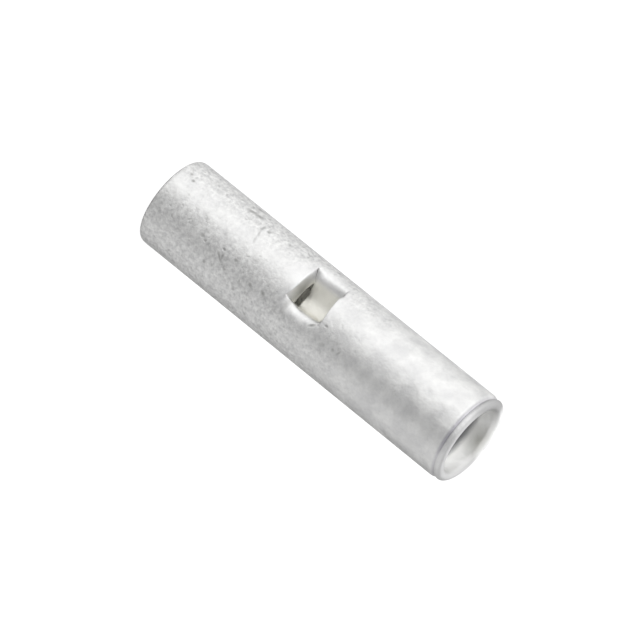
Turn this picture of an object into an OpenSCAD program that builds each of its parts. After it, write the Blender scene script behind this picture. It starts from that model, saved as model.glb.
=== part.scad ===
// Bare butt splice connector: one seamless copper sleeve, tin plated, with a wire stop
// pressed into its front wall. A stripped wire goes into each mouth as far as the stop,
// and each half is then crimped. The punch shears the wall along the stop's lower edge
// and leaves a slit there, through which the end of the lower wire can be seen.
// The sleeve stands on its plain end with the rolled lip up (+Z) and the stop in
// front (-Y). The origin is the middle of the plain end's face. Sizes are in millimetres.

/* [Sleeve] */
// Overall length of the sleeve
sleeve_length = 28.4; // [20:0.1:45]
// Outside diameter of the sleeve
sleeve_d = 7; // [6.9:0.1:9]
// Diameter of the bore that takes the wires
bore_d = 5; // [4:0.1:5.1]

/* [Plain end] */
// Radius that rounds the outer edge of the plain end
plain_round = 0.45; // [0.1:0.05:0.6]

/* [Rolled end] */
// Radius of the lip's round, seen in section
lip_round = 0.5; // [0.3:0.05:0.55]
// How far the lip's crown lies below the outside of the sleeve
lip_drop = 0.1; // [0.02:0.02:0.16]
// Depth of the groove behind the lip, below the outside of the sleeve
groove_depth = 0.2; // [0.14:0.02:0.3]
// Radius of the shoulder where the sleeve dips into the groove
shoulder_round = 0.6; // [0.5:0.05:1]

/* [Both mouths] */
// Radius that eases the inner edge of each mouth, for the wire to go in
mouth_round = 0.3; // [0.1:0.05:0.35]

/* [Wire stop] */
// Length of the stop's pocket along the sleeve, at the outside
pocket_length = 2.9; // [2.5:0.1:4]
// Width of the pocket's floor
floor_width = 0.4; // [0.3:0.1:0.8]
// How far the pocket's floor lies inside the bore, which is also the height of the slit
stop_reach = 0.8; // [0.4:0.1:1]
// Thickness of the wall where it is pressed in
stop_wall = 0.8; // [0.6:0.1:1]
// Distance from mid-length to the middle of the pocket, towards the rolled end
stop_shift = -0.35; // [-1:0.05:1]
// Lean of the sheared wall and of the wall that faces it, in degrees
end_lean = 16; // [5:1:20]
// Lean of the pocket's two side walls, in degrees
side_lean = 38; // [30:1:42]
// Radius of the pocket's two side edges, which the punch rolls inwards
edge_roll = 0.6; // [0.3:0.05:0.7]
// How far the bore swells around the stop, where the punch works the wall
bore_swell = 0.05; // [0.03:0.01:0.1]

/* [Hidden] */
$fn = 96;
tin_plate = [0.82, 0.82, 0.81];
// Cutting shapes run past what they cut by this much
overrun = 1;
// A round's centre lies this share of its radius from the faces that it joins, so it
// crosses them at a slight angle and doesn't end in a feather edge
snug = 0.99;

sleeve_r = sleeve_d / 2;
bore_r = bore_d / 2;

// The lip's round and the shoulder's round are two circles in section. They cross
// at the bottom of the groove, which sets how far below the top each one lies.
groove_r = sleeve_r - groove_depth;
lip_centre_r = sleeve_r - lip_drop - lip_round;
lip_centre_z = sleeve_length - snug * lip_round;
groove_z = lip_centre_z - sqrt(lip_round^2 - (groove_r - lip_centre_r)^2);
shoulder_centre_r = sleeve_r - snug * shoulder_round;
shoulder_z = groove_z - sqrt(shoulder_round^2 - (groove_r - shoulder_centre_r)^2);

// The stop is drawn facing +Y, over the middle of its pocket. The bore's swell runs past
// the pressed-in metal at both ends.
stop_z = sleeve_length / 2 + stop_shift;
stop_front = sleeve_r + overrun;
floor_y = bore_r - stop_reach;
under_y = floor_y - stop_wall;
end_wall = stop_wall / cos(end_lean);
swell_low = stop_z - pocket_length / 2;
swell_high = stop_z + pocket_length / 2 + end_wall;
swell_half = (swell_high - swell_low) / 2;
swell_round = (swell_half^2 + bore_swell^2) / (2 * bore_swell);

// Each rolled edge is a circle in plan, which joins the sleeve's outside to the leaning
// side wall
floor_corner = [floor_width / 2, floor_y];
up_side = [sin(side_lean), cos(side_lean)];
into_side = [cos(side_lean), -sin(side_lean)];
roll_start = floor_corner + snug * edge_roll * into_side;
roll_reach = sleeve_r - snug * edge_roll;
roll_climb = sqrt((roll_start * up_side)^2 - roll_start * roll_start + roll_reach^2) - roll_start * up_side;
roll_centre = roll_start + roll_climb * up_side;
roll_top = roll_centre * (roll_reach + edge_roll) / roll_reach;
roll_foot = floor_corner + roll_climb * up_side;

// Half of the pocket's length at a distance from the sleeve's axis
function half_length(distance) = pocket_length / 2 - (sleeve_r - distance) * tan(end_lean);

// What is cut away to round a square corner at the origin that fills +x and +y
module corner_waste(radius) {
    difference() {
        translate([-overrun, -overrun])
            square(overrun + radius);
        translate([snug * radius, snug * radius])
            circle(radius);
    }
}

// What is cut away outside the shoulder, the groove and the lip, up to the top
module rolled_end_waste() {
    difference() {
        translate([lip_centre_r, shoulder_z])
            square([sleeve_r - lip_centre_r + overrun, sleeve_length - shoulder_z + overrun]);
        translate([shoulder_centre_r, shoulder_z])
            circle(shoulder_round);
        translate([lip_centre_r, lip_centre_z])
            circle(lip_round);
    }
}

// Half section of the sleeve's wall: x is the radius, y the height
module wall_section() {
    difference() {
        translate([bore_r, 0])
            square([sleeve_r - bore_r, sleeve_length]);
        rolled_end_waste();
        translate([bore_r + bore_swell - swell_round, swell_low + swell_half])
            circle(swell_round, $fn = 8 * $fn);
        translate([sleeve_r, 0])
            mirror([1, 0])
                corner_waste(plain_round);
        translate([bore_r, 0])
            corner_waste(mouth_round);
        translate([bore_r, sleeve_length])
            mirror([0, 1])
                corner_waste(mouth_round);
    }
}

// Plan of the pocket: a narrow floor between two leaning sides, which flare over the
// rolled edges
module pocket_plan() {
    for (side = [0, 1])
        mirror([side, 0])
            difference() {
                polygon([
                    [0, floor_y],
                    floor_corner,
                    roll_foot,
                    roll_centre,
                    roll_top,
                    [roll_top[0], stop_front],
                    [0, stop_front],
                ]);
                translate(roll_centre)
                    circle(edge_roll);
            }
}

// Side view of the pocket: x runs outwards, y is the height over its middle
module pocket_profile() {
    polygon([
        [floor_y, -half_length(floor_y)],
        [stop_front, -half_length(stop_front)],
        [stop_front, half_length(stop_front)],
        [floor_y, half_length(floor_y)],
    ]);
}

// Plan of the metal that the punch presses into the bore, before the pocket is cut out
// of it
module pressed_plan() {
    under_half = floor_width / 2 + stop_wall * (1 - sin(side_lean)) / cos(side_lean);
    top_half = under_half + (sleeve_r - under_y) * tan(side_lean);
    polygon([
        [-under_half, under_y],
        [under_half, under_y],
        [top_half, sleeve_r],
        [-top_half, sleeve_r],
    ]);
}

// Side view of the same metal. Its lower end, which the punch shears, is square.
module pressed_profile() {
    polygon([
        [under_y, -half_length(floor_y)],
        [sleeve_r, -half_length(floor_y)],
        [sleeve_r, half_length(sleeve_r) + end_wall],
        [under_y, half_length(under_y) + end_wall],
    ]);
}

// The solid at the stop's place that has its first child as plan and its second as
// side view
module from_two_views() {
    translate([0, 0, stop_z])
        rotate([0, 0, 180])
            intersection() {
                linear_extrude(2 * swell_high - 2 * stop_z, center = true)
                    children(0);
                rotate([90, 0, 90])
                    linear_extrude(2 * sleeve_d, center = true)
                        children(1);
            }
}

module sleeve() {
    color(tin_plate)
        difference() {
            union() {
                rotate_extrude()
                    wall_section();
                intersection() {
                    cylinder(r = (bore_r + sleeve_r) / 2, h = sleeve_length);
                    from_two_views() {
                        pressed_plan();
                        pressed_profile();
                    }
                }
            }
            from_two_views() {
                pocket_plan();
                pocket_profile();
            }
        }
}

sleeve();
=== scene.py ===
from math import atan2, cos, pi, radians, sin, tan

import bmesh
import bpy
from mathutils import Matrix, Vector


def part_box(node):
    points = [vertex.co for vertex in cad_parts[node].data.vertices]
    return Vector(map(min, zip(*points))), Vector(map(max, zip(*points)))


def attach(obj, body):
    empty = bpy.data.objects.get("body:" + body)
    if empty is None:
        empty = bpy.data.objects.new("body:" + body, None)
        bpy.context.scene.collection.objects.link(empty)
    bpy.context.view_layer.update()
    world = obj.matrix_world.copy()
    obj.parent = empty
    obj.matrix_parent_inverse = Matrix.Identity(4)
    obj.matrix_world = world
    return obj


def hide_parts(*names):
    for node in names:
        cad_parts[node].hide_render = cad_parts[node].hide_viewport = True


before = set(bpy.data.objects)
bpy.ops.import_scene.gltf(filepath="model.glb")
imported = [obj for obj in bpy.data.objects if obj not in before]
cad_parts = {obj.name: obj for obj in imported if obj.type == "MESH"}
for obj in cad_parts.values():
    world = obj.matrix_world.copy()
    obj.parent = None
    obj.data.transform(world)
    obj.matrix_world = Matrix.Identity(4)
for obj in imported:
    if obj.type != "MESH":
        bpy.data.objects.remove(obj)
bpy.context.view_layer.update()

# The camera. A long lens looks at the wire stop from a little to its right and from above
# the rolled lip. It is turned about its own axis, so that the sleeve lies across the picture.
sleeve_low, sleeve_high = (Vector(corner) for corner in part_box("sleeve"))
sleeve_length = sleeve_high.z - sleeve_low.z
sleeve_radius = min(sleeve_high.x, sleeve_high.y, -sleeve_low.x, -sleeve_low.y)
sleeve_middle = (sleeve_low + sleeve_high) / 2
camera_bearing = radians(23)
camera_elevation = radians(20)
camera_roll = radians(128.95)
camera_distance = 18 * sleeve_length
picture_pixels = 640
middle_pixel = (321.2, 320.7)
pixels_per_metre = 14450


def aimed_at_sleeve(bearing, elevation, distance):
    """A place round the sleeve, turned to its middle. Bearing 0 is in front of the stop."""
    towards = Vector((sin(bearing) * cos(elevation), -cos(bearing) * cos(elevation), sin(elevation)))
    turn = towards.to_track_quat("Z", "Y").to_matrix().to_4x4()
    return Matrix.Translation(sleeve_middle + towards * distance) @ turn


camera_data = bpy.data.cameras.new("camera")
camera_data.lens = camera_data.sensor_width * pixels_per_metre * camera_distance / picture_pixels
camera_data.shift_x = (picture_pixels / 2 - middle_pixel[0]) / picture_pixels
camera_data.shift_y = (middle_pixel[1] - picture_pixels / 2) / picture_pixels
camera_data.clip_start = 0.01
camera_data.clip_end = 10
camera = bpy.data.objects.new("camera", camera_data)
camera_aim = aimed_at_sleeve(camera_bearing, camera_elevation, camera_distance)
camera.matrix_world = camera_aim @ Matrix.Rotation(camera_roll, 4, "Z")
bpy.context.scene.collection.objects.link(camera)
bpy.context.scene.camera = camera

# The sleeve's wall. The real piece is a seamless copper tube, cut to length, with its outer
# edges rounded. One end is rolled in to a lip behind a shallow groove.
# It is modelled as rings from the bore round the plain end, up the outside and down the bore.
mm = 0.001
columns = 32
half_column = pi / columns
# Smoothing pulls a ring inside its corners, so the corners stand out by this factor
ring_swell = 6 / (4 + 2 * cos(2 * half_column))
outside = sleeve_radius - 0.003 * mm
bore = 2.5 * mm
top = sleeve_length - 0.05 * mm
groove_height = top - 0.57 * mm
far_row, tip_row, floor_row, rise_row, foot_row, near_row = (
    height * mm for height in (12.41, 12.6, 13.35, 14.75, 15.2, 15.3)
)
inner_far, inner_tip, inner_floor, inner_rise, inner_foot, inner_near = (
    height * mm for height in (12.77, 12.95, 13.6, 14.6, 15.5, 15.9)
)
plain_end = [
    (bore, 1.5 * mm), (bore, 0.55 * mm), (bore, 0), (2.95 * mm, 0),
    (outside, 0), (outside, 0.6 * mm), (outside, 2.5 * mm),
]
outer_wall = [
    (outside, height) for height in (
        7 * mm, 11 * mm, 12 * mm, far_row, tip_row, floor_row, rise_row, foot_row, near_row,
        15.8 * mm, 17 * mm, 22 * mm,
    )
]
rolled_end = [
    (outside, top - 2.4 * mm), (outside, top - 0.95 * mm), (3.48 * mm, top - 0.72 * mm),
    (3.25 * mm, groove_height), (3.42 * mm, top - 0.42 * mm), (3.44 * mm, top - 0.22 * mm),
    (3.26 * mm, top - 0.02 * mm), (2.98 * mm, top), (2.76 * mm, top - 0.04 * mm),
    (2.62 * mm, top - 0.3 * mm), (2.54 * mm, top - 0.8 * mm), (bore, top - 1.4 * mm),
    (bore, top - 2.4 * mm),
]
bore_wall = [
    (bore, height) for height in (
        22 * mm, 17.5 * mm, 16.5 * mm, inner_near, inner_foot, inner_rise, inner_floor, inner_tip,
        inner_far, 12.1 * mm, 10.5 * mm,
    )
]
rings = [(bore, 5 * mm)] + plain_end + outer_wall + rolled_end + bore_wall
bpy.ops.object.select_all(action="DESELECT")
bpy.ops.mesh.primitive_circle_add(
    vertices=columns, radius=rings[0][0] * ring_swell,
    location=(0, 0, rings[0][1]), rotation=(0, 0, half_column),
)
sleeve = bpy.context.object
sleeve.name = "sleeve_wall"
bpy.ops.object.transform_apply(location=True, rotation=True, scale=True)
bpy.ops.object.mode_set(mode="EDIT")
bpy.ops.mesh.select_mode(type="VERT")
bpy.ops.mesh.select_all(action="SELECT")
for (last_radius, last_height), (radius, height) in zip(rings, rings[1:]):
    bpy.ops.mesh.extrude_region_move(TRANSFORM_OT_translate={"value": (0, 0, height - last_height)})
    growth = radius / last_radius
    bpy.ops.transform.resize(value=(growth, growth, 1), center_override=(0, 0, height))


def join_open_rims():
    """Bridge the two open rims of the cage that is being edited."""
    bpy.ops.mesh.select_mode(type="EDGE")
    bpy.ops.mesh.select_all(action="DESELECT")
    for edge in bmesh.from_edit_mesh(sleeve.data).edges:
        edge.select = edge.is_boundary
    bmesh.update_edit_mesh(sleeve.data)
    bpy.ops.mesh.bridge_edge_loops()


join_open_rims()

# The groove behind the lip is shallower on the right
right_side = 2.7 * mm
groove_growth = 1.035
same_height = 0.01 * mm
bpy.ops.mesh.select_mode(type="VERT")
bpy.ops.mesh.select_all(action="DESELECT")
for corner in bmesh.from_edit_mesh(sleeve.data).verts:
    corner.select = abs(corner.co.z - groove_height) < same_height and corner.co.x > right_side
bmesh.update_edit_mesh(sleeve.data)
bpy.ops.transform.resize(value=(groove_growth, groove_growth, 1), center_override=(0, 0, groove_height))

# The wire stop. A punch shears the front wall along one row and presses it into the bore.
# That leaves a pocket with a slit at its sheared edge and a sagging lip on each side.
# The slit is cut through both sides of the wall first, and its two rims are joined.
slit_half_angle = 5 * half_column
wall_middle = (bore + outside) / 2
bpy.ops.mesh.select_mode(type="FACE")
bpy.ops.mesh.select_all(action="DESELECT")
for face in bmesh.from_edit_mesh(sleeve.data).faces:
    centre = face.calc_center_median()
    low, high = (far_row, tip_row) if centre.xy.length > wall_middle else (inner_far, inner_tip)
    face.select = low < centre.z < high and abs(atan2(centre.x, -centre.y)) < slit_half_angle
bmesh.update_edit_mesh(sleeve.data)
bpy.ops.mesh.delete(type="FACE")
join_open_rims()
cage = bmesh.from_edit_mesh(sleeve.data)


# The pressed wall. It is the sleeve's own wall, sheared along the slit and pushed in by the
# punch. The cage's corners in and under the pocket go to where the punch pushed them:
# a section gives how far to the right and how far out each one lies, from left to right.
def cage_corners(radius, height):
    """The corners of the cage in one row, from three columns left of the stop to three right."""
    corners = []
    for column in (-5, -3, -1, 1, 3, 5):
        angle = column * half_column
        spot = Vector((sin(angle), -cos(angle), 0)) * radius * ring_swell + Vector((0, 0, height))
        corners.append(min(cage.verts, key=lambda corner: (corner.co - spot).length))
    return corners


far_corners = cage_corners(outside, far_row)
tip_corners = cage_corners(outside, tip_row)
floor_corners = cage_corners(outside, floor_row)
rise_corners = cage_corners(outside, rise_row)
foot_corners = cage_corners(outside, foot_row)
near_corners = cage_corners(outside, near_row)
under_rows = (inner_far, inner_tip, inner_floor, inner_rise, inner_foot)
under_corners = {row: cage_corners(bore, row) for row in under_rows}

tip_section = ((-1.65, 3.13), (-0.95, 2.55), (-0.25, 1.6), (0.45, 1.66), (1.05, 1.6), (1.38, 2.97))
floor_section = ((-1.42, 2.86), (-0.85, 2.3), (-0.1, 1.6), (0.45, 1.66), (1, 1.58), (1.38, 2.66))
rise_section = ((-1.58, 3.1), (-0.85, 2.3), (-0.12, 1.62), (0.42, 1.64), (0.97, 1.62), (1.42, 2.86))
foot_section = ((-1.62, 3.1), (-0.95, 2.4), (-0.2, 1.64), (0.4, 1.62), (0.95, 1.64), (1.42, 3.13))
under_section = ((-1.35, 2.05), (-1.15, 1.55), (-0.4, 0.8), (0.55, 0.62), (1.4, 0.8), (1.7, 1.6))
pressed_rows = [
    (tip_corners, tip_section), (floor_corners, floor_section),
    (rise_corners, rise_section), (foot_corners, foot_section),
]
pressed_rows += [(under_corners[row], under_section) for row in under_rows[1:]]
for corners, section in pressed_rows:
    for corner, (sideways, reach) in zip(corners, section):
        corner.co.x = sideways * mm
        corner.co.y = -reach * mm

# The sheared end leans like the wall over the slit until it turns into the pocket's floor
shear_lean = tan(radians(20))
shear_bite = 0.12 * mm
tip_height = 12.81 * mm
tip_slant = 0.1
for corner in tip_corners:
    sheared_height = far_row + shear_lean * (outside + corner.co.y) - shear_bite
    corner.co.z = min(sheared_height, tip_height + tip_slant * corner.co.x)

# The pocket is skewed, and its right lip sags most at mid-length
far_heights = (12.38, 12.42, 12.41, 12.4, 12.36, 12.22)
near_heights = (15.14, 15.2, 15.28, 15.38, 15.48, 15.6)
lip_sag_height = 13.7 * mm
lip_angle = radians(24.5)
for corners, heights in ((far_corners, far_heights), (near_corners, near_heights)):
    for corner, height in zip(corners, heights):
        corner.co.z = height * mm
    corners[-1].co.x = outside * ring_swell * sin(lip_angle)
    corners[-1].co.y = -outside * ring_swell * cos(lip_angle)
floor_corners[-1].co.z = lip_sag_height
bmesh.update_edit_mesh(sleeve.data)

slit_rim = set(far_corners + tip_corners + under_corners[inner_far] + under_corners[inner_tip])
near_edge = set(near_corners[1:])
for rim, sharpness in ((slit_rim, 0.9), (near_edge, 0.8)):
    bpy.ops.mesh.select_all(action="DESELECT")
    for edge in cage.edges:
        edge.select = rim.issuperset(edge.verts)
    bmesh.update_edit_mesh(sleeve.data)
    bpy.ops.transform.edge_crease(value=sharpness)
# The near edge, which is still selected, is shaded as a sharp one
bpy.ops.mesh.mark_sharp()
bpy.ops.mesh.select_all(action="SELECT")
bpy.ops.mesh.normals_make_consistent(inside=False)
bpy.ops.object.mode_set(mode="OBJECT")
smoothing_levels = 3
bpy.ops.object.modifier_add(type="SUBSURF")
smoothing = sleeve.modifiers[-1]
smoothing.levels = smoothing_levels
smoothing.render_levels = smoothing_levels
bpy.ops.object.modifier_apply(modifier=smoothing.name)
bpy.ops.object.shade_smooth()


# The tin plate. It is a matt plating with a fine grain, cloudy, nicked and a little pitted. It is
# smoother towards the rolled end and round the stop, and dull inside the bore and the pocket.
# Its places are in millimetres, in the sleeve's own frame.
def feed(socket, value):
    """Link a node's input to another node's output, or set it to a plain value."""
    if isinstance(value, bpy.types.NodeSocket):
        socket.id_data.links.new(value, socket)
    else:
        socket.default_value = value


def maths(tree, operation, *values, clamp=False):
    """What a Math node makes of outputs and numbers."""
    node = tree.nodes.new("ShaderNodeMath")
    node.operation = operation
    node.use_clamp = clamp
    for socket, value in zip(node.inputs, values):
        feed(socket, value)
    return node.outputs[0]


def fade(tree, value, start, end, low=0, high=1):
    """A value that is low up to start, high past end, and goes evenly from one to the other."""
    node = tree.nodes.new("ShaderNodeMapRange")
    feed(node.inputs["Value"], value)
    feed(node.inputs["From Min"], start)
    feed(node.inputs["From Max"], end)
    feed(node.inputs["To Min"], low)
    feed(node.inputs["To Max"], high)
    return node.outputs["Result"]


def mottle(tree, place, scale, detail, roughness):
    """A noise over the places."""
    node = tree.nodes.new("ShaderNodeTexNoise")
    feed(node.inputs["Vector"], place)
    feed(node.inputs["Scale"], scale)
    feed(node.inputs["Detail"], detail)
    feed(node.inputs["Roughness"], roughness)
    return node.outputs["Fac"]


def patch(tree, place, middle, half_sizes, turn=0):
    """A mask that is highest in the middle of an ellipse and falls to 0 at its rim."""
    ellipse = tree.nodes.new("ShaderNodeMapping")
    ellipse.vector_type = "TEXTURE"
    feed(ellipse.inputs["Vector"], place)
    feed(ellipse.inputs["Location"], middle)
    feed(ellipse.inputs["Rotation"], (0, 0, turn))
    feed(ellipse.inputs["Scale"], half_sizes)
    ball = tree.nodes.new("ShaderNodeTexGradient")
    ball.gradient_type = "SPHERICAL"
    feed(ball.inputs["Vector"], ellipse.outputs["Vector"])
    return ball.outputs["Fac"]


def colour_bands(tree, value, bands):
    """The node of a colour ramp, from pairs of a place from 0 to 1 and a colour."""
    node = tree.nodes.new("ShaderNodeValToRGB")
    feed(node.inputs["Fac"], value)
    elements = node.color_ramp.elements
    while len(elements) < len(bands):
        elements.new(0.5)
    for element, (position, colour) in zip(elements, bands):
        element.position = position
        element.color = colour
    return node


def mix(tree, share, under, over):
    """A colour with another one over it by a share."""
    node = tree.nodes.new("ShaderNodeMix")
    node.data_type = "RGBA"
    feed(node.inputs["Factor"], share)
    feed(node.inputs["A"], under)
    feed(node.inputs["B"], over)
    return node.outputs["Result"]


def relief(tree, height, depth, strength, normal=None, invert=False):
    """The normal of a surface with a relief on it."""
    node = tree.nodes.new("ShaderNodeBump")
    node.invert = invert
    feed(node.inputs["Strength"], strength)
    feed(node.inputs["Distance"], depth)
    feed(node.inputs["Height"], height)
    if normal is not None:
        feed(node.inputs["Normal"], normal)
    return node.outputs["Normal"]


tin = bpy.data.materials.new("tin_plate")
tin.use_nodes = True
plate = tin.node_tree
shader = plate.nodes["Principled BSDF"]
object_place = plate.nodes.new("ShaderNodeTexCoord")
in_mm = plate.nodes.new("ShaderNodeVectorMath")
in_mm.operation = "SCALE"
feed(in_mm.inputs[0], object_place.outputs["Object"])
feed(in_mm.inputs["Scale"], 1 / mm)
place = in_mm.outputs["Vector"]
place_axes = plate.nodes.new("ShaderNodeSeparateXYZ")
feed(place_axes.inputs["Vector"], place)
right, back, up = place_axes.outputs

# The distance from the axis, and the place on the unrolled outside: round it from the middle of
# the stop, and up
level = plate.nodes.new("ShaderNodeCombineXYZ")
feed(level.inputs["X"], right)
feed(level.inputs["Y"], back)
level_length = plate.nodes.new("ShaderNodeVectorMath")
level_length.operation = "LENGTH"
feed(level_length.inputs[0], level.outputs["Vector"])
from_axis = level_length.outputs["Value"]
front = maths(plate, "MULTIPLY", back, -1)
turned = maths(plate, "ARCTAN2", right, front)
around = maths(plate, "MULTIPLY", turned, outside / mm)
sheet = plate.nodes.new("ShaderNodeCombineXYZ")
feed(sheet.inputs["X"], around)
feed(sheet.inputs["Y"], up)
unrolled = sheet.outputs["Vector"]

# Grain and clouds. The grain fades towards the rolled end, along a stripe in front, and round the
# stop, where the punch burnished the plate.
grain = mottle(plate, place, scale=3.4, detail=4, roughness=0.68)
clouds = mottle(plate, place, scale=0.8, detail=3, roughness=0.5)
plain_half = fade(plate, up, start=12, end=21, low=1, high=0.2)
stripe_middle = 0.1
from_stripe = maths(plate, "ABSOLUTE", maths(plate, "SUBTRACT", around, stripe_middle))
beside_stripe = fade(plate, from_stripe, start=0.3, end=1.7, low=0.35)
burnish = patch(plate, place, middle=(0, -3, 13.6), half_sizes=(2.8, 2.8, 2.8))
burnish_strength = 1.6
unburnished = maths(plate, "MULTIPLY_ADD", burnish, -burnish_strength, 1, clamp=True)
front_grain = maths(plate, "MULTIPLY", beside_stripe, unburnished)
grain_share = maths(plate, "MULTIPLY", plain_half, front_grain)

# Dents are pits, where a noise of their own is highest, and scratches and nicks, each an ellipse on
# the unrolled outside: round, up, turn in degrees, half length, half width and faintness. A faint
# mark lies that far off the sheet, so that only the outer part of its mask meets it.
marks = (
    (-0.7, 1.4, 95, 0.2, 0.15, 0), (-1.1, 0.9, 70, 0.2, 0.15, 0.3), (-2, 5.9, 115, 0.5, 0.25, 0.25),
    (-2.1, 6.5, 100, 0.5, 0.25, 0.3), (-3, 6, 115, 0.5, 0.25, 0.5), (-1.4, 8, 75, 0.2, 0.2, 0.4),
    (-1.3, 7.5, 5, 0.5, 0.15, 0.5), (-0.7, 7.65, 20, 0.4, 0.15, 0.55), (-0.1, 7.8, 20, 0.5, 0.15, 0.6),
    (2.4, 6.6, 50, 0.5, 0.15, 0.15), (2.3, 6.8, 5, 0.35, 0.15, 0.3), (1.8, 6.6, 80, 0.2, 0.15, 0.3),
    (1.9, 7.8, 80, 0.2, 0.2, 0.35), (3.4, 5.8, 80, 0.2, 0.15, 0.45), (2.5, 10.8, 60, 0.3, 0.2, 0.25),
    (2.6, 9.7, 65, 0.3, 0.2, 0.35), (3.7, 8.7, 80, 0.2, 0.15, 0.45), (2, 4.7, 85, 0.3, 0.2, 0.5),
    (2.5, 17.4, 85, 0.2, 0.2, 0.5), (2.4, 17.9, 155, 0.3, 0.15, 0.5), (2.7, 16.5, 125, 0.4, 0.25, 0.65),
    (2.1, 15.1, 135, 0.4, 0.15, 0.3), (1.5, 16, 95, 0.2, 0.15, 0.4), (1.7, 3.2, 130, 0.3, 0.1, 0.5),
)
pitting = mottle(plate, place, scale=2.2, detail=1.5, roughness=0.7)
pits = fade(plate, pitting, start=0.62, end=0.9)
dents = maths(plate, "MULTIPLY", pits, grain_share)
for mark_round, mark_up, mark_turn, half_length, half_width, faintness in marks:
    mark_middle = (mark_round, mark_up, faintness)
    mark = patch(plate, unrolled, mark_middle, (half_length, half_width, 1), radians(mark_turn))
    dents = maths(plate, "MAXIMUM", dents, mark)

# Masks of the bore and pocket, of painted shade on the sheared face over the slit, and of a patch of
# painted shade inside the mouth
inside = fade(plate, from_axis, start=2.95, end=2.6)
# The sheared face over the slit is darkened with painted shade
shear_shade_patch = patch(plate, unrolled, middle=(0.5, 12.68, 0), half_sizes=(2.6, 0.3, 1))
over_slit = fade(plate, from_axis, start=2.1, end=2.4)
sheared_face_shade = maths(plate, "MULTIPLY", shear_shade_patch, over_slit)
# A dark patch on the inner wall of the mouth, painted shade
mouth_shade_patch = patch(plate, unrolled, middle=(-9, 27.75, 0), half_sizes=(2.2, 1, 1))
mouth_shade = maths(plate, "MULTIPLY", mouth_shade_patch, inside)

# Painted shade lies as a dark band in the groove behind the lip, more of it on the right
groove_shade_height = (top - 0.6 * mm) / mm
groove_shade_half_width = 0.17
groove_depth = fade(plate, from_axis, start=3.47, end=3.3)
groove_side = maths(plate, "SUBTRACT", groove_depth, inside, clamp=True)
groove_shade_side = fade(plate, right, start=-2, end=2, low=0.35)
groove_shade_share = maths(plate, "MULTIPLY", groove_side, groove_shade_side)
groove_shade_band = maths(plate, "COMPARE", up, groove_shade_height, groove_shade_half_width)
groove_shade = maths(plate, "MULTIPLY", groove_shade_share, groove_shade_band)

# The lip's front and sides are painted grey as painted shade, darker at the front left. Its back left
# is white and dull.
lip_foot = (top - 0.52 * mm) / mm
lip_crown = (top - 0.35 * mm) / mm
back_left_dullness = 0.9
lip = fade(plate, up, start=lip_foot, end=lip_crown)
to_back_left = maths(plate, "MULTIPLY_ADD", back, 0.8, maths(plate, "MULTIPLY", right, -1.1))
shaded_side = fade(plate, to_back_left, start=3.6, end=2.4)
shaded_lip = maths(plate, "MULTIPLY", lip, shaded_side)
back_left_lip = maths(plate, "SUBTRACT", lip, shaded_lip)
dull_lip = maths(plate, "MULTIPLY", back_left_lip, back_left_dullness)
to_back_right = maths(plate, "ADD", right, back)
# The grey of the painted shade on the lip, darker at the front left
lip_shade_grey = fade(plate, to_back_right, start=-4.1, end=-2.8, low=0.57, high=0.83)

# The bore's tone by the height, with the dullness as alpha: cream at the stop, dark between the stop
# and the mouth, as painted shade deep in the bore, white at the mouth
bore_tones_and_shade = (
    (0, (0.92, 0.92, 0.9, 0.5)), (11, (0.95, 0.94, 0.87, 1)), (12.2, (0.95, 0.94, 0.87, 1)),
    (12.5, (0.95, 0.94, 0.88, 0.14)), (16.2, (0.95, 0.94, 0.88, 0.14)), (18, (0.4, 0.4, 0.41, 0.4)),
    (26.55, (0.3, 0.3, 0.31, 0.4)), (27.1, (1, 1, 0.98, 0.6)), (27.7, (0.85, 0.85, 0.84, 0.35)),
    (28.2, (0.62, 0.62, 0.61, 0.2)),
)
height_share = maths(plate, "DIVIDE", up, sleeve_length / mm)
bore_bands_and_shade = [(height * mm / sleeve_length, tone) for height, tone in bore_tones_and_shade]
bore_tone_and_shade = colour_bands(plate, height_share, bore_bands_and_shade)

# Colour, from the clouds up to the painted shade in the groove
cloud_bands = ((0.35, (0.75, 0.75, 0.75, 1)), (0.65, (0.94, 0.94, 0.93, 1)))
grain_bands = ((0.28, (0.6, 0.6, 0.6, 1)), (0.66, (1, 1, 0.99, 1)))
burnished_tin = (0.97, 0.97, 0.97, 1)
# The grey of the painted shade inside the mouth
mouth_shade_grey = (0.44, 0.44, 0.41, 1)
# The grey of the painted shade on the sheared face
sheared_face_shade_grey = (0.36, 0.36, 0.34, 1)
dent_grey = (0.36, 0.36, 0.35, 1)
# The grey of the painted shade in the groove
groove_shade_grey = (0.56, 0.55, 0.6, 1)
tin_colour = colour_bands(plate, clouds, cloud_bands).outputs["Color"]
for share, over in (
    (grain_share, colour_bands(plate, grain, grain_bands).outputs["Color"]),
    (burnish, burnished_tin),
    (shaded_lip, lip_shade_grey),
    (inside, bore_tone_and_shade.outputs["Color"]),
    (mouth_shade, mouth_shade_grey),
    (sheared_face_shade, sheared_face_shade_grey),
    (dents, dent_grey),
    (groove_shade, groove_shade_grey),
):
    tin_colour = mix(plate, share, tin_colour, over)
feed(shader.inputs["Base Color"], tin_colour)

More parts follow.
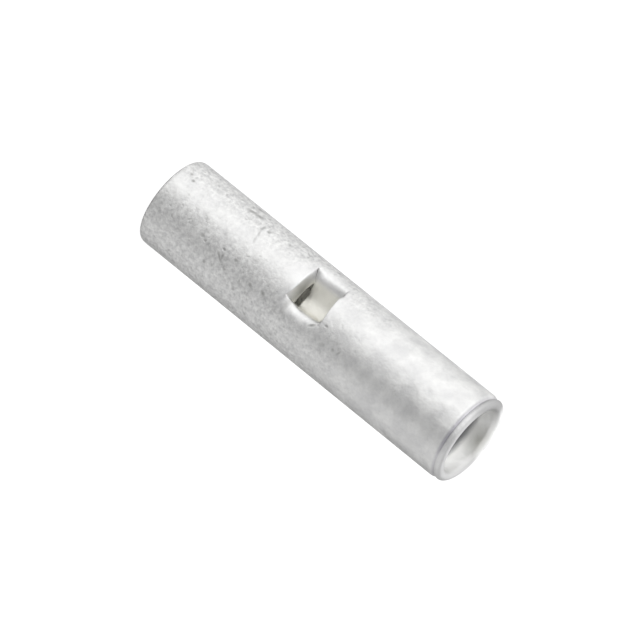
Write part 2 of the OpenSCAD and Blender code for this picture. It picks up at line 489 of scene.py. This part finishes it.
# Gloss and relief
dull_inside = maths(plate, "MULTIPLY", inside, bore_tone_and_shade.outputs["Alpha"])
dullness = maths(plate, "MAXIMUM", dull_inside, dull_lip)
feed(shader.inputs["Metallic"], maths(plate, "SUBTRACT", 1, dullness))
feed(shader.inputs["Specular Tint"], (0.5, 0.5, 0.5, 1))
inner_roughness = 0.12
outer_roughness = fade(plate, clouds, start=0, end=1, low=0.36, high=0.54)
feed(shader.inputs["Roughness"], maths(plate, "MULTIPLY_ADD", inside, inner_roughness, outer_roughness))
grain_relief = relief(plate, grain, depth=0.04 * mm, strength=grain_share)
cloud_relief = relief(plate, clouds, depth=0.1 * mm, strength=1, normal=grain_relief)
dent_relief = relief(plate, dents, depth=0.05 * mm, strength=1, normal=cloud_relief, invert=True)
feed(shader.inputs["Normal"], dent_relief)
sleeve.data.materials.clear()
sleeve.data.materials.append(tin)
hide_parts("sleeve")
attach(sleeve, "root")

# The floor. It is a sheet of white acrylic. It is plain white to the eye, with a faint shadow
# where the sleeve stands, and in the metal it shows white and the panels that it mirrors.
floor_radius = 0.3
floor_edges = 64
shadow_grey = (0.2, 0.2, 0.2, 1)
mirror_white = (0.95, 0.95, 0.95, 1)
mirror_roughness = 0.1
glow_to_eye = 0.92
glow_in_metal = 0.04
bpy.ops.object.select_all(action="DESELECT")
bpy.ops.mesh.primitive_circle_add(
    vertices=floor_edges, radius=floor_radius, fill_type="NGON", location=(0, 0, sleeve_low.z),
)
floor = bpy.context.object
floor.name = "floor"
acrylic = bpy.data.materials.new("floor_acrylic")
acrylic.use_nodes = True
acrylic_sheet = acrylic.node_tree
acrylic_sheet.nodes.clear()
floor_ray = acrylic_sheet.nodes.new("ShaderNodeLightPath").outputs
floor_matt = acrylic_sheet.nodes.new("ShaderNodeBsdfDiffuse")
feed(floor_matt.inputs["Color"], shadow_grey)
floor_mirror = acrylic_sheet.nodes.new("ShaderNodeBsdfGlossy")
feed(floor_mirror.inputs["Color"], mirror_white)
feed(floor_mirror.inputs["Roughness"], mirror_roughness)
floor_face = acrylic_sheet.nodes.new("ShaderNodeMixShader")
feed(floor_face.inputs["Fac"], floor_ray["Is Glossy Ray"])
feed(floor_face.inputs[1], floor_matt.outputs[0])
feed(floor_face.inputs[2], floor_mirror.outputs[0])
seen_plainly = maths(acrylic_sheet, "ADD", floor_ray["Is Camera Ray"], floor_ray["Is Transmission Ray"])
plain_glow = maths(acrylic_sheet, "MULTIPLY", seen_plainly, glow_to_eye)
glow = maths(acrylic_sheet, "MULTIPLY_ADD", floor_ray["Is Glossy Ray"], glow_in_metal, plain_glow)
floor_glow = acrylic_sheet.nodes.new("ShaderNodeEmission")
feed(floor_glow.inputs["Strength"], glow)
floor_sum = acrylic_sheet.nodes.new("ShaderNodeAddShader")
feed(floor_sum.inputs[0], floor_face.outputs[0])
feed(floor_sum.inputs[1], floor_glow.outputs[0])
floor_output = acrylic_sheet.nodes.new("ShaderNodeOutputMaterial")
feed(floor_output.inputs["Surface"], floor_sum.outputs[0])
floor.data.materials.append(acrylic)

# The studio. White panels stand round the sleeve, with a grey gap to the right of the camera and
# a darker ceiling. A panel is given by its bearing from the stop, in degrees to the right, and its
# brightness.
panels = (
    (-180, 0.58), (-158, 1.15), (-130, 1.15), (-97, 0.95), (-22, 1.46), (-7, 1.36), (8, 0.93),
    (53, 0.32), (90, 0.7), (113, 0.78), (143, 0.64), (165, 0.55), (180, 0.58),
)
full_turn = 360
backdrop_white = (1, 1, 1, 1)
world = bpy.data.worlds.new("studio")
bpy.context.scene.world = world
world.use_nodes = True
studio = world.node_tree
direction = studio.nodes.new("ShaderNodeTexCoord")
direction_axes = studio.nodes.new("ShaderNodeSeparateXYZ")
feed(direction_axes.inputs["Vector"], direction.outputs["Generated"])
to_right, to_back, to_ceiling = direction_axes.outputs
bearing = maths(studio, "ARCTAN2", to_right, maths(studio, "MULTIPLY", to_back, -1))
turn_share = fade(studio, bearing, start=-pi, end=pi)
panel_bands = [
    (panel_bearing / full_turn + 0.5, (light, light, light, 1)) for panel_bearing, light in panels
]
panel_light = colour_bands(studio, turn_share, panel_bands)
ceiling = fade(studio, to_ceiling, start=0.7, end=0.95, low=1, high=0.7)
room = studio.nodes.new("ShaderNodeVectorMath")
room.operation = "SCALE"
feed(room.inputs[0], panel_light.outputs["Color"])
feed(room.inputs["Scale"], ceiling)
world_ray = studio.nodes.new("ShaderNodeLightPath").outputs
seen_white = maths(studio, "ADD", world_ray["Is Camera Ray"], world_ray["Is Transmission Ray"])
background = studio.nodes["Background"]
feed(background.inputs["Color"], mix(studio, seen_white, room.outputs["Vector"], backdrop_white))

# The lamps. A soft box on the left shines into the mouth, and a smaller one beside the camera
# shines into the slit. The metal doesn't mirror them, so they light only what is dull.
lamp_distance = 0.3
for lamp_name, lamp_bearing, lamp_elevation, lamp_size, lamp_watts in (
    ("soft_box", radians(-45), radians(30), 0.2, 0.7),
    ("fill_light", radians(25), radians(20), 0.12, 0.42),
):
    lamp_data = bpy.data.lights.new(lamp_name, "AREA")
    lamp_data.size = lamp_size
    lamp_data.energy = lamp_watts
    lamp = bpy.data.objects.new(lamp_name, lamp_data)
    lamp.matrix_world = aimed_at_sleeve(lamp_bearing, lamp_elevation, lamp_distance)
    lamp.visible_glossy = False
    bpy.context.scene.collection.objects.link(lamp)

bpy.context.scene.view_settings.view_transform = "Standard"
